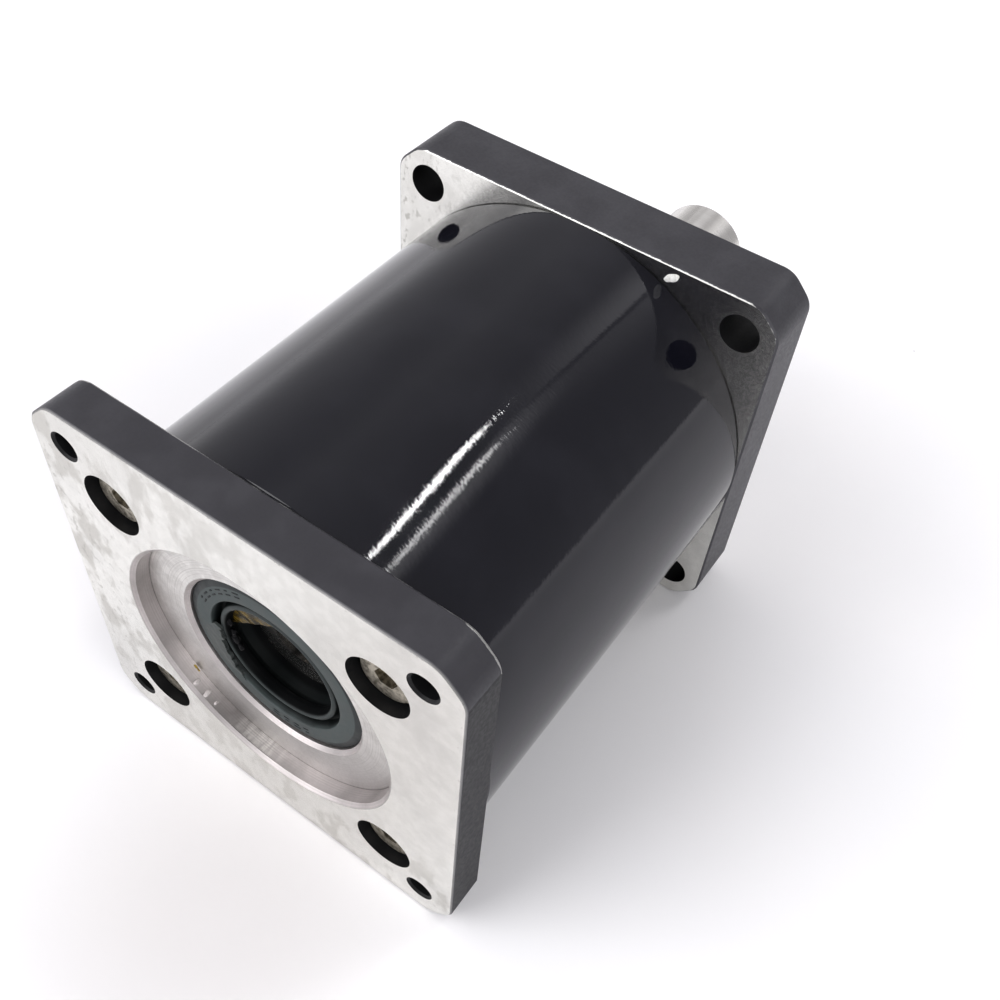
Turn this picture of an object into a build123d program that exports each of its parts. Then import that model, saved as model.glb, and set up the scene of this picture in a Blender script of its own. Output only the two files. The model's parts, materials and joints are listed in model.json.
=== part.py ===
from build123d import *
import math
import os

# Inline planetary gearbox with square flanges, single stage, 9:1.
# X runs along the shaft and points out of the output face, which lies at X = 0.
# Z is up, and the gearbox rests on the lower flats of its two flanges.

# Frame
frame_side = 57.0
corner_turning_radius = 38.0
corner_blend = 3.2
edge_bevel = 0.25
body_radius = 28.4
input_flange_thickness = 5.5
body_length = 56.0
output_flange_thickness = 9.0

# Interfaces
mounting_pitch = 47.14
pilot_radius = 19.05
pilot_recess_depth = 2.5
pilot_mouth_bevel = 0.45
pilot_boss_height = 2.0
motor_thread_radius = 1.65
motor_thread_mouth_radius = 1.95
mounting_hole_radius = 2.65
shaft_radius = 7.0
shaft_reach = 35.0
shaft_end_bevel = 0.8
motor_shaft_radius = 4.0

# Low-head cap screws that hold both flanges to the body
screw_pitch = 36.2
screw_radius = 1.98
screw_clearance_radius = 2.25
screw_head_radius = 3.5
screw_head_height = 2.8
screw_head_bevel = 0.3
screw_counterbore_radius = 4.0
screw_counterbore_depth = 4.1
screw_socket_flats = 2.5
countersink_angle = 90
screw_socket_depth = 1.6
input_screw_length = 12.0
output_screw_length = 14.0
tapped_hole_radius = 2.0
tapped_hole_spare = 1.0

# Gears
module = 0.5
pressure_angle = math.radians(20)
sun_teeth = 8
planet_teeth = 28
ring_teeth = 64
planet_count = 3
first_planet_angle = 90.0
profile_shift = 0.5
backlash = 0.03
sun_tip_radius = 2.7
ring_tip_radius = 15.36
root_depth_factor = 1.25
flank_points = 5
planet_width = 6.9
ring_gear_width = 7.2

# Sun cartridge: pinion pressed into a collar that clamps on the motor shaft
collar_radius = 7.5
collar_length = 11.0
collar_bevel = 0.5
collar_bore_depth = 6.5
pinion_length = 10.2
pinion_boss_radius = 1.85
pinion_boss_height = 0.4
pinion_shank_radius = 2.5
pinion_tooth_bevel = 0.5
set_screw_radius = 1.98
set_screw_offset = 4.5
set_screw_gap = 0.1
set_screw_socket_flats = 2.0
set_screw_socket_depth = 1.8

# Carrier
carrier_radius = 17.0
carrier_thickness = 5.0
carrier_recess_radius = 3.6
carrier_recess_depth = 1.2
carrier_plate_radius = 14.9
carrier_plate_bore = 3.2
carrier_plate_thickness = 2.0
post_circle_radius = 12.6
post_radius = 2.2
post_screw_radius = 0.98
post_screw_head_radius = 1.9
post_screw_length = 6.0
post_screw_hole_radius = 1.1
post_thread_radius = 1.0
pin_radius = 2.5
pin_seat_depth = 4.3
bush_bore_radius = 2.53
bush_radius = 3.5
washer_bore_radius = 2.55
washer_radius = 5.0
washer_thickness = 0.3
carrier_hub_radius = 9.5
carrier_hub_length = 3.8

# Output bearings, 15 x 32 x 9, a spacer apart
journal_radius = 7.5
journal_reach = 2.5
bearing_radius = 16.0
bearing_width = 9.0
bearing_spacing = 9.0
bearing_corner = 0.6
inner_land_radius = 10.2
outer_land_radius = 13.3
ball_circle_radius = 11.75
ball_radius = 2.38
ball_count = 9
race_groove_radius = 2.43
cage_inner_radius = 11.0
cage_outer_radius = 12.6
cage_width = 6.0
cage_pocket_radius = 2.46
outer_spacer_bore = 14.2
inner_spacer_radius = 9.2

# Retaining rings
housing_ring_thickness = 1.2
housing_ring_bore = 14.4
housing_ring_radius = 16.8
housing_groove_radius = 16.85
shaft_ring_thickness = 1.0
shaft_groove_radius = 7.15
shaft_ring_radius = 9.4
groove_play = 0.05
ring_gap_angle = 50.0
ring_lug_radius = 1.9
ring_lug_hole_radius = 0.9

# Shaft seals, 7 mm wide, on 15 mm collar and journal
seal_width = 7.0
seal_running_gap = 0.05
input_seal_radius = 13.0
input_seal_setback = 0.5
input_seal_mouth_bevel = 0.5
output_seal_radius = 14.0
output_seal_setback = 0.2
seal_shoulder_radius = 9.5

# Seal section: depths from the seal face, heights from the running edge of the lip
seal_edge_depth = 0.8
seal_edge_width = 0.9
seal_wall = 1.2
seal_web_depth = 2.6
lip_root_height = 2.5
lip_back_height = 1.7
lip_relief_height = 0.8
lip_end_depth = 6.6
lip_edge_depth = 5.2
lip_front_height = 0.9
dust_edge_front = 1.4
dust_edge_back = 1.8
dust_edge_height = 0.25
rim_setback = 0.3
rim_corner_setback = 0.5
rim_bore_height = 0.5
rim_inner_height = 0.75
rim_outer_height = 1.2
moat_depth = 1.5
moat_outer_height = 2.2
moat_taper = 0.25
seal_case_thickness = 0.5
seal_case_bore_height = 2.95
seal_case_end_depth = 6.6
spring_station = 5.4
spring_seat_height = 1.05
spring_seat_width = 1.2
spring_seat_shoulder = 0.2
spring_seat_gap = 0.02
spring_coil_radius = 0.48

# Body bores
spigot_gap = 0.02
input_spigot_radius = 20.0
input_spigot_length = 6.7
rear_chamber_radius = 17.0
front_chamber_radius = 18.0
output_spigot_radius = 22.0
output_spigot_reach = 35.6

# Keyway and centre hole
keyway_width = 5.0
keyway_length = 20.0
keyway_centre = 20.0
keyway_depth = 3.0
centre_hole_radius = 2.1
centre_hole_depth = 12.0
centre_hole_mouth_radius = 2.8
centre_hole_mouth_angle = 60

# Stations along the shaft
body_front = -output_flange_thickness
body_rear = body_front - body_length
input_face = body_rear - input_flange_thickness
recess_floor = input_face + pilot_recess_depth
input_seal_face = recess_floor + input_seal_setback
input_seal_seat = input_seal_face + seal_width
input_spigot_end = body_rear + input_spigot_length
output_seal_face = pilot_boss_height - output_seal_setback
lip_radius = collar_radius + seal_running_gap
front_bearing_start = -15.5
front_bearing_end = front_bearing_start + bearing_width
rear_bearing_end = front_bearing_start - bearing_spacing
rear_bearing_start = rear_bearing_end - bearing_width
carrier_front = rear_bearing_start - carrier_hub_length
carrier_back = carrier_front - carrier_thickness
washer_gap = 0.05
planet_front = carrier_back - washer_thickness - washer_gap
planet_back = planet_front - planet_width
plate_front = planet_back - washer_gap - washer_thickness
plate_back = plate_front - carrier_plate_thickness
ring_gear_front = (planet_front + planet_back + ring_gear_width) / 2
ring_gear_back = ring_gear_front - ring_gear_width
collar_gap = 0.3
collar_front = plate_back - collar_gap
collar_back = collar_front - collar_length

# Gear geometry worked out from the module
planet_orbit_radius = module * (sun_teeth + planet_teeth) / 2
planet_tip_radius = module * (planet_teeth / 2 + 1 - profile_shift)
planet_root_radius = module * (planet_teeth / 2 - root_depth_factor - profile_shift)
sun_root_radius = module * (sun_teeth / 2 - root_depth_factor + profile_shift)
ring_root_radius = module * (ring_teeth / 2 + root_depth_factor - profile_shift)
shift_widening = 2 * profile_shift * math.tan(pressure_angle)
sun_tooth_thickness = module * (math.pi / 2 + shift_widening) - backlash
planet_tooth_thickness = module * (math.pi / 2 - shift_widening) - backlash
ring_space_width = module * (math.pi / 2 - shift_widening) + backlash

planet_angles = [first_planet_angle + 360 * index / planet_count for index in range(planet_count)]
post_angles = [angle + 180 / planet_count for angle in planet_angles]

input_plane = Plane(origin=(input_face, 0, 0), x_dir=(0, -1, 0), z_dir=(-1, 0, 0))
output_plane = Plane.YZ
keyway_floor = Plane(origin=(keyway_centre, shaft_radius - keyway_depth, 0), x_dir=(1, 0, 0),
                     z_dir=(0, 1, 0))

os.makedirs("parts", exist_ok=True)


def save(part, name):
    """Label a finished piece and write it to its own file."""
    part.label = name
    export_step(part, f"parts/{name}.step")


def axial_plane(station, orbit_radius=0.0, orbit_angle=0.0, turn_angle=0.0):
    """Plane across the shaft at a station, centred on an orbit and turned in its own face."""
    orbit = math.radians(orbit_angle)
    turn = math.radians(turn_angle)
    centre = (station, orbit_radius * math.cos(orbit), orbit_radius * math.sin(orbit))
    return Plane(origin=centre, x_dir=(0, math.cos(turn), math.sin(turn)), z_dir=(1, 0, 0))


def cylinder(start, end, radius, mode=Mode.ADD):
    """Add or cut a cylinder on the shaft axis between two stations."""
    with BuildSketch(axial_plane(start)) as outline:
        Circle(radius)
    extrude(outline.sketch, amount=end - start, mode=mode)


def rods(start, end, radius, orbit_radius, angles, mode=Mode.ADD):
    """Add or cut a ring of cylinders parallel to the shaft."""
    with BuildSketch(axial_plane(start)) as outline:
        for angle in angles:
            with PolarLocations(orbit_radius, 1, start_angle=angle):
                Circle(radius)
    extrude(outline.sketch, amount=end - start, mode=mode)


def turned(*profile, mode=Mode.ADD):
    """Turn a closed outline of (station, radius) points about the shaft axis."""
    with BuildSketch(Plane.XY) as outline:
        with BuildLine():
            Polyline(*profile, close=True)
        make_face()
    revolve(outline.sketch, axis=Axis.X, mode=mode)


def flange_plate(start, end):
    """Square plate whose corners are turned to an arc about the shaft, with bevelled edges."""
    with BuildPart() as plate:
        with BuildSketch(axial_plane(start)) as outline:
            Rectangle(frame_side, frame_side)
            Circle(corner_turning_radius, mode=Mode.INTERSECT)
            fillet(outline.vertices(), corner_blend)
        extrude(amount=end - start)
        chamfer(plate.faces().filter_by(Axis.X).edges(), edge_bevel)
    return plate.part


def low_head_screws(face_plane, length):
    """Four low-head cap screws sunk in the counterbores of one flange."""
    seat = face_plane.offset(-screw_counterbore_depth)
    with BuildPart(seat) as screws:
        with GridLocations(screw_pitch, screw_pitch, 2, 2):
            Cylinder(screw_head_radius, screw_head_height, align=(Align.CENTER, Align.CENTER, Align.MIN))
            Cylinder(screw_radius, length, align=(Align.CENTER, Align.CENTER, Align.MAX))
        head_rims = screws.edges().filter_by(GeomType.CIRCLE).group_by(SortBy.RADIUS)[-1]
        chamfer(head_rims, screw_head_bevel)
        with BuildSketch(seat.offset(screw_head_height)):
            with GridLocations(screw_pitch, screw_pitch, 2, 2):
                RegularPolygon(screw_socket_flats / 2, 6, major_radius=False)
        extrude(amount=-screw_socket_depth, mode=Mode.SUBTRACT)
    return screws.part


def involute(angle):
    """Involute function of an angle in radians."""
    return math.tan(angle) - angle


def gear_outline(teeth, tip_radius, root_radius, thickness):
    """Involute gear face with one tooth centred on its local X axis."""
    pitch_radius = module * teeth / 2
    base_radius = pitch_radius * math.cos(pressure_angle)
    flank_start = max(base_radius, root_radius)

    def half_angle(radius):
        roll = math.acos(min(1.0, base_radius / radius))
        return thickness / (2 * pitch_radius) + involute(pressure_angle) - involute(roll)

    def spot(radius, angle):
        return (radius * math.cos(angle), radius * math.sin(angle))

    pitch_angle = 2 * math.pi / teeth
    radii = [flank_start + (tip_radius - flank_start) * step / (flank_points - 1)
             for step in range(flank_points)]
    foot = half_angle(flank_start)
    with BuildSketch() as outline:
        with BuildLine():
            for tooth in range(teeth):
                middle = tooth * pitch_angle
                rising = [spot(radius, middle - half_angle(radius)) for radius in radii]
                falling = [spot(radius, middle + half_angle(radius)) for radius in reversed(radii)]
                root_start = spot(root_radius, middle + foot)
                root_end = spot(root_radius, middle + pitch_angle - foot)
                if root_radius < flank_start:
                    Line(spot(root_radius, middle - foot), rising[0])
                    Line(falling[-1], root_start)
                Spline(*rising)
                ThreePointArc(rising[-1], spot(tip_radius, middle), falling[0])
                Spline(*falling)
                ThreePointArc(root_start, spot(root_radius, middle + pitch_angle / 2), root_end)
        make_face()
    return outline.sketch


def shaft_seal(face, inward, housing_radius):
    """Rubber seal body: bevelled outer ring, moat, dust edge and sprung sealing lip."""
    wall_height = housing_radius - seal_wall - lip_radius
    seat_start = spring_station - spring_seat_width / 2
    seat_end = spring_station + spring_seat_width / 2
    outer_ring = [
        (0, housing_radius - seal_edge_width - lip_radius),
        (seal_edge_depth, housing_radius - lip_radius),
        (seal_width, housing_radius - lip_radius),
        (seal_width, wall_height),
        (seal_web_depth, wall_height),
    ]
    sprung_lip = [
        (seal_web_depth, lip_root_height),
        (seat_start - spring_seat_shoulder, lip_back_height),
        (seat_start, spring_seat_height),
        (seat_end, spring_seat_height),
        (seat_end + spring_seat_shoulder, lip_back_height),
        (lip_end_depth, lip_back_height),
        (lip_end_depth, lip_relief_height),
        (lip_edge_depth, 0),
        (seal_web_depth, lip_front_height),
    ]
    dust_edge = [
        (dust_edge_back, dust_edge_height),
        (dust_edge_front, dust_edge_height),
        (rim_corner_setback, rim_bore_height),
        (rim_setback, rim_inner_height),
        (rim_corner_setback, rim_outer_height),
    ]
    moat = [
        (moat_depth, rim_outer_height + moat_taper),
        (moat_depth, moat_outer_height - moat_taper),
        (0, moat_outer_height),
    ]
    section = outer_ring + sprung_lip + dust_edge + moat
    with BuildPart() as seal:
        turned(*[(face + inward * depth, lip_radius + height) for depth, height in section])
    return seal.part


def seal_case(face, inward, housing_radius):
    """Pressed steel angle ring that stiffens the seal from inside."""
    outer = housing_radius - seal_wall
    inner = outer - seal_case_thickness
    bore = lip_radius + seal_case_bore_height
    web_back = seal_web_depth + seal_case_thickness
    section = [
        (seal_web_depth, outer), (seal_case_end_depth, outer), (seal_case_end_depth, inner),
        (web_back, inner), (web_back, bore), (seal_web_depth, bore),
    ]
    with BuildPart() as case:
        turned(*[(face + inward * depth, radius) for depth, radius in section])
    return case.part


def garter_spring(face, inward):
    """Closed coil spring ring that sits in the groove behind the sealing lip."""
    seat_radius = lip_radius + spring_seat_height
    with BuildPart(axial_plane(face + inward * spring_station)) as spring:
        Torus(seat_radius + spring_seat_gap + spring_coil_radius, spring_coil_radius)
    return spring.part


def bearing_races(start):
    """Outer and inner race of one deep-groove ball bearing."""
    end = start + bearing_width
    with BuildPart(axial_plane(start + bearing_width / 2)) as outer_race:
        cylinder(start, end, bearing_radius)
        chamfer(outer_race.edges(), bearing_corner)
        cylinder(start, end, outer_land_radius, mode=Mode.SUBTRACT)
        Torus(ball_circle_radius, race_groove_radius, mode=Mode.SUBTRACT)
    with BuildPart(axial_plane(start + bearing_width / 2)) as inner_race:
        cylinder(start, end, inner_land_radius)
        cylinder(start, end, journal_radius, mode=Mode.SUBTRACT)
        Torus(ball_circle_radius, race_groove_radius, mode=Mode.SUBTRACT)
    return outer_race.part, inner_race.part


def bearing_cage_and_balls(start):
    """Ball set of one bearing and the cage that spaces it."""
    middle = axial_plane(start + bearing_width / 2)
    with BuildPart(middle) as balls:
        with PolarLocations(ball_circle_radius, ball_count):
            Sphere(ball_radius)
    with BuildPart(middle) as cage:
        Cylinder(cage_outer_radius, cage_width)
        Cylinder(cage_inner_radius, cage_width, mode=Mode.SUBTRACT)
        with PolarLocations(ball_circle_radius, ball_count):
            Cylinder(cage_pocket_radius, cage_width, rotation=(0, 90, 0), mode=Mode.SUBTRACT)
    return cage.part, balls.part


def retaining_ring(start, thickness, inner_radius, outer_radius, lug_circle_radius):
    """Open spring ring with a plier lug on each side of its gap, which faces up."""
    lug_angles = [90 - ring_gap_angle / 2, 90 + ring_gap_angle / 2]
    reach = 2 * outer_radius
    half_gap = math.radians(ring_gap_angle / 2)
    with BuildPart() as ring:
        with BuildSketch(axial_plane(start)):
            Circle(outer_radius)
            Circle(inner_radius, mode=Mode.SUBTRACT)
            with BuildLine():
                Polyline((0, 0), (-reach * math.sin(half_gap), reach * math.cos(half_gap)),
                         (reach * math.sin(half_gap), reach * math.cos(half_gap)), close=True)
            make_face(mode=Mode.SUBTRACT)
            for angle in lug_angles:
                with PolarLocations(lug_circle_radius, 1, start_angle=angle):
                    Circle(ring_lug_radius)
                    Circle(ring_lug_hole_radius, mode=Mode.SUBTRACT)
        extrude(amount=thickness)
    return ring.part


# Input flange: motor pilot recess, seal bore, tapped motor holes and counterbored screw holes
with BuildPart() as input_flange:
    add(flange_plate(input_face, body_rear))
    cylinder(body_rear, input_spigot_end, input_spigot_radius - spigot_gap)
    cylinder(input_face, recess_floor, pilot_radius, mode=Mode.SUBTRACT)
    turned((input_face, 0), (input_face, pilot_radius + pilot_mouth_bevel),
           (input_face + pilot_mouth_bevel, pilot_radius), (input_face + pilot_mouth_bevel, 0),
           mode=Mode.SUBTRACT)
    cylinder(recess_floor, input_seal_seat, input_seal_radius, mode=Mode.SUBTRACT)
    turned((recess_floor, 0), (recess_floor, input_seal_radius + input_seal_mouth_bevel),
           (recess_floor + input_seal_mouth_bevel, input_seal_radius),
           (recess_floor + input_seal_mouth_bevel, 0), mode=Mode.SUBTRACT)
    cylinder(input_seal_seat, input_spigot_end, seal_shoulder_radius, mode=Mode.SUBTRACT)
    with Locations(input_plane):
        with GridLocations(screw_pitch, screw_pitch, 2, 2):
            CounterBoreHole(screw_clearance_radius, screw_counterbore_radius, screw_counterbore_depth)
        with GridLocations(mounting_pitch, mounting_pitch, 2, 2):
            CounterSinkHole(motor_thread_radius, motor_thread_mouth_radius,
                            counter_sink_angle=countersink_angle)
save(input_flange.part, "input_flange")

save(low_head_screws(input_plane, input_screw_length), "input_flange_screws")
save(shaft_seal(input_seal_face, 1, input_seal_radius), "input_seal")
save(seal_case(input_seal_face, 1, input_seal_radius), "input_seal_case")
save(garter_spring(input_seal_face, 1), "input_seal_spring")

# Body with the ring gear cut inside it
input_tap_end = input_face + screw_counterbore_depth + input_screw_length + tapped_hole_spare
output_tap_end = -screw_counterbore_depth - output_screw_length - tapped_hole_spare
with BuildPart() as ring_gear_body:
    cylinder(body_rear, body_front, body_radius)
    chamfer(ring_gear_body.edges().filter_by(GeomType.CIRCLE), edge_bevel)
    cylinder(body_rear, input_spigot_end, input_spigot_radius, mode=Mode.SUBTRACT)
    cylinder(input_spigot_end, ring_gear_back, rear_chamber_radius, mode=Mode.SUBTRACT)
    with BuildSketch(axial_plane(ring_gear_back)):
        add(gear_outline(ring_teeth, ring_root_radius, ring_tip_radius, ring_space_width))
    extrude(amount=ring_gear_width, mode=Mode.SUBTRACT)
    cylinder(ring_gear_front, -output_spigot_reach, front_chamber_radius, mode=Mode.SUBTRACT)
    cylinder(-output_spigot_reach, body_front, output_spigot_radius, mode=Mode.SUBTRACT)
    for start, end in ((body_rear, input_tap_end), (body_front, output_tap_end)):
        with BuildSketch(axial_plane(start)):
            with GridLocations(screw_pitch, screw_pitch, 2, 2):
                Circle(tapped_hole_radius)
        extrude(amount=end - start, mode=Mode.SUBTRACT)
save(ring_gear_body.part, "ring_gear_body")

# Output flange: bearing housing, pilot boss, mounting holes and counterbored screw holes
housing_ring_start = rear_bearing_start - housing_ring_thickness
with BuildPart() as output_flange:
    add(flange_plate(body_front, 0))
    cylinder(-output_spigot_reach, body_front, output_spigot_radius - spigot_gap)
    cylinder(0, pilot_boss_height, pilot_radius)
    chamfer(output_flange.faces().sort_by(Axis.X)[-1].edges(), edge_bevel)
    cylinder(front_bearing_end, pilot_boss_height, output_seal_radius, mode=Mode.SUBTRACT)
    cylinder(-output_spigot_reach, front_bearing_end, bearing_radius, mode=Mode.SUBTRACT)
    cylinder(housing_ring_start - groove_play, rear_bearing_start, housing_groove_radius,
             mode=Mode.SUBTRACT)
    with Locations(output_plane):
        with GridLocations(screw_pitch, screw_pitch, 2, 2):
            CounterBoreHole(screw_clearance_radius, screw_counterbore_radius, screw_counterbore_depth)
        with GridLocations(mounting_pitch, mounting_pitch, 2, 2):
            Hole(mounting_hole_radius)
save(output_flange.part, "output_flange")

save(low_head_screws(output_plane, output_screw_length), "output_flange_screws")
save(shaft_seal(output_seal_face, -1, output_seal_radius), "output_seal")
save(seal_case(output_seal_face, -1, output_seal_radius), "output_seal_case")
save(garter_spring(output_seal_face, -1), "output_seal_spring")

# Output bearings with their spacers
for side, start in (("front", front_bearing_start), ("rear", rear_bearing_start)):
    outer_race, inner_race = bearing_races(start)
    save(outer_race, f"{side}_bearing_outer_race")
    save(inner_race, f"{side}_bearing_inner_race")
    cage, balls = bearing_cage_and_balls(start)
    save(cage, f"{side}_bearing_cage")
    save(balls, f"{side}_bearing_balls")

with BuildPart() as bearing_outer_spacer:
    cylinder(rear_bearing_end, front_bearing_start, bearing_radius)
    cylinder(rear_bearing_end, front_bearing_start, outer_spacer_bore, mode=Mode.SUBTRACT)
save(bearing_outer_spacer.part, "bearing_outer_spacer")

with BuildPart() as bearing_inner_spacer:
    cylinder(rear_bearing_end, front_bearing_start, inner_spacer_radius)
    cylinder(rear_bearing_end, front_bearing_start, journal_radius, mode=Mode.SUBTRACT)
save(bearing_inner_spacer.part, "bearing_inner_spacer")

housing_ring = retaining_ring(housing_ring_start, housing_ring_thickness, housing_ring_bore,
                              housing_ring_radius, housing_ring_bore)
save(housing_ring, "housing_retaining_ring")

shaft_ring = retaining_ring(front_bearing_end, shaft_ring_thickness, shaft_groove_radius,
                            shaft_ring_radius, shaft_ring_radius)
save(shaft_ring, "shaft_retaining_ring")

# Output shaft in one piece with the front disc and posts of the planet carrier
with BuildPart() as output_shaft:
    cylinder(carrier_back, carrier_front, carrier_radius)
    chamfer(output_shaft.edges().filter_by(GeomType.CIRCLE), edge_bevel)
    cylinder(carrier_front, rear_bearing_start, carrier_hub_radius)
    cylinder(rear_bearing_start, journal_reach, journal_radius)
    cylinder(journal_reach, shaft_reach, shaft_radius)
    chamfer(output_shaft.faces().sort_by(Axis.X)[-1].edges(), shaft_end_bevel)
    rods(plate_front, carrier_back, post_radius, post_circle_radius, post_angles)
    rods(plate_front, plate_front + post_screw_length, post_thread_radius, post_circle_radius,
         post_angles, mode=Mode.SUBTRACT)
    rods(carrier_back, carrier_back + pin_seat_depth, pin_radius, planet_orbit_radius,
         planet_angles, mode=Mode.SUBTRACT)
    cylinder(carrier_back, carrier_back + carrier_recess_depth, carrier_recess_radius,
             mode=Mode.SUBTRACT)
    turned((front_bearing_end, shaft_groove_radius), (front_bearing_end, journal_radius),
           (front_bearing_end + shaft_ring_thickness + groove_play, journal_radius),
           (front_bearing_end + shaft_ring_thickness + groove_play, shaft_groove_radius),
           mode=Mode.SUBTRACT)
    with Locations(axial_plane(shaft_reach)):
        CounterSinkHole(centre_hole_radius, centre_hole_mouth_radius, centre_hole_depth,
                        centre_hole_mouth_angle)
    with BuildSketch(keyway_floor):
        SlotOverall(keyway_length, keyway_width)
    extrude(amount=keyway_depth, mode=Mode.SUBTRACT)
save(output_shaft.part, "output_shaft")

# Rear plate of the carrier, held to the posts
with BuildPart() as carrier_plate:
    cylinder(plate_back, plate_front, carrier_plate_radius)
    cylinder(plate_back, plate_front, carrier_plate_bore, mode=Mode.SUBTRACT)
    rods(plate_back, plate_front, pin_radius, planet_orbit_radius, planet_angles, mode=Mode.SUBTRACT)
    for angle in post_angles:
        face = Plane(axial_plane(plate_back, post_circle_radius, angle).origin, z_dir=(-1, 0, 0))
        with Locations(face):
            CounterSinkHole(post_screw_hole_radius, post_screw_head_radius,
                            counter_sink_angle=countersink_angle)
save(carrier_plate.part, "carrier_plate")

post_screw_head_height = post_screw_head_radius - post_screw_radius
with BuildPart() as carrier_plate_screws:
    for angle in post_angles:
        face = Plane(axial_plane(plate_back, post_circle_radius, angle).origin, z_dir=(-1, 0, 0))
        with Locations(face):
            Cone(post_screw_radius, post_screw_head_radius - groove_play, post_screw_head_height,
                 align=(Align.CENTER, Align.CENTER, Align.MAX))
            Cylinder(post_screw_radius, post_screw_length,
                     align=(Align.CENTER, Align.CENTER, Align.MAX))
        with BuildSketch(face):
            RegularPolygon(post_screw_radius / 2, 6)
        extrude(amount=-post_screw_head_height, mode=Mode.SUBTRACT)
save(carrier_plate_screws.part, "carrier_plate_screws")

with BuildPart() as planet_pins:
    rods(plate_back, carrier_back + pin_seat_depth, pin_radius, planet_orbit_radius, planet_angles)
save(planet_pins.part, "planet_pins")

with BuildPart() as planet_thrust_washers:
    for start in (plate_front, carrier_back - washer_thickness):
        end = start + washer_thickness
        rods(start, end, washer_radius, planet_orbit_radius, planet_angles)
        rods(start, end, washer_bore_radius, planet_orbit_radius, planet_angles, mode=Mode.SUBTRACT)
save(planet_thrust_washers.part, "planet_thrust_washers")

# Planet gears, each turned so that it meshes with the ring gear and the sun, and their bushes
planet_outline = gear_outline(planet_teeth, planet_tip_radius, planet_root_radius,
                              planet_tooth_thickness)
for index, angle in enumerate(planet_angles):
    tooth_angle = -angle * (ring_teeth - planet_teeth) / planet_teeth
    plane = axial_plane(planet_back, planet_orbit_radius, angle, tooth_angle)
    with BuildPart(plane) as planet_gear:
        with BuildSketch(plane):
            add(planet_outline)
        extrude(amount=planet_width)
        Hole(bush_radius)
    save(planet_gear.part, f"planet_gear_{index + 1}")
    with BuildPart() as planet_bush:
        with BuildSketch(plane):
            Circle(bush_radius)
            Circle(bush_bore_radius, mode=Mode.SUBTRACT)
        extrude(amount=planet_width)
    save(planet_bush.part, f"planet_bush_{index + 1}")

# Sun pinion: shank, bevelled teeth and a round end boss
pinion_teeth_end = collar_front + pinion_length - pinion_boss_height
sun_outline = gear_outline(sun_teeth, sun_tip_radius, sun_root_radius, sun_tooth_thickness)
with BuildPart() as sun_pinion:
    with BuildSketch(axial_plane(collar_front, turn_angle=180 / sun_teeth)):
        add(sun_outline)
    extrude(amount=pinion_teeth_end - collar_front)
    turned((collar_front, 0), (collar_front, sun_tip_radius),
           (pinion_teeth_end - pinion_tooth_bevel, sun_tip_radius),
           (pinion_teeth_end, sun_tip_radius - pinion_tooth_bevel), (pinion_teeth_end, 0),
           mode=Mode.INTERSECT)
    cylinder(pinion_teeth_end, pinion_teeth_end + pinion_boss_height, pinion_boss_radius)
    cylinder(collar_back + collar_bore_depth, collar_front, pinion_shank_radius)
save(sun_pinion.part, "sun_pinion")

# Collar that joins the pinion to the motor shaft, with its radial set screw
set_screw_station = collar_back + set_screw_offset
with BuildPart() as sun_collar:
    cylinder(collar_back, collar_front, collar_radius)
    chamfer(sun_collar.edges().filter_by(GeomType.CIRCLE), collar_bevel)
    cylinder(collar_back, collar_back + collar_bore_depth, motor_shaft_radius, mode=Mode.SUBTRACT)
    cylinder(collar_back, collar_front, pinion_shank_radius, mode=Mode.SUBTRACT)
    with BuildSketch(Plane.XY):
        with Locations((set_screw_station, 0)):
            Circle(tapped_hole_radius)
    extrude(amount=collar_radius, mode=Mode.SUBTRACT)
save(sun_collar.part, "sun_collar")

set_screw_tip = motor_shaft_radius + set_screw_gap
set_screw_length = collar_radius - 2 * set_screw_gap - set_screw_tip
with BuildPart() as collar_set_screw:
    with BuildSketch(Plane.XY.offset(set_screw_tip)):
        with Locations((set_screw_station, 0)):
            Circle(set_screw_radius)
    extrude(amount=set_screw_length)
    with BuildSketch(Plane.XY.offset(set_screw_tip + set_screw_length)):
        with Locations((set_screw_station, 0)):
            RegularPolygon(set_screw_socket_flats / 2, 6, major_radius=False)
    extrude(amount=-set_screw_socket_depth, mode=Mode.SUBTRACT)
save(collar_set_screw.part, "collar_set_screw")
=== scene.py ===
import bmesh
import bpy
import json
import math
from mathutils import Matrix, Vector, noise


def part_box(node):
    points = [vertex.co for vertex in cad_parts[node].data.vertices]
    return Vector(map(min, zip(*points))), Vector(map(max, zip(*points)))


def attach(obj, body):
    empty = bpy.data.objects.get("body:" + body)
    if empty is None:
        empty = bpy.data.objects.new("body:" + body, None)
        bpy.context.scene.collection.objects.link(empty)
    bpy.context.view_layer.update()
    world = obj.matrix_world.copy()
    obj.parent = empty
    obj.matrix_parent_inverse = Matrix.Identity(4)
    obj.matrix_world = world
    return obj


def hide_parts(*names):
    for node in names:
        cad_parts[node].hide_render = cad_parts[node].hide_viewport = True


# Inline planetary gearbox lying on its flange flats: finishes, small surface pieces, light and camera.
# Metres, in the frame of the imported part: X runs along the shaft, out of the output face at X = 0.

MM = 0.001

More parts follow.
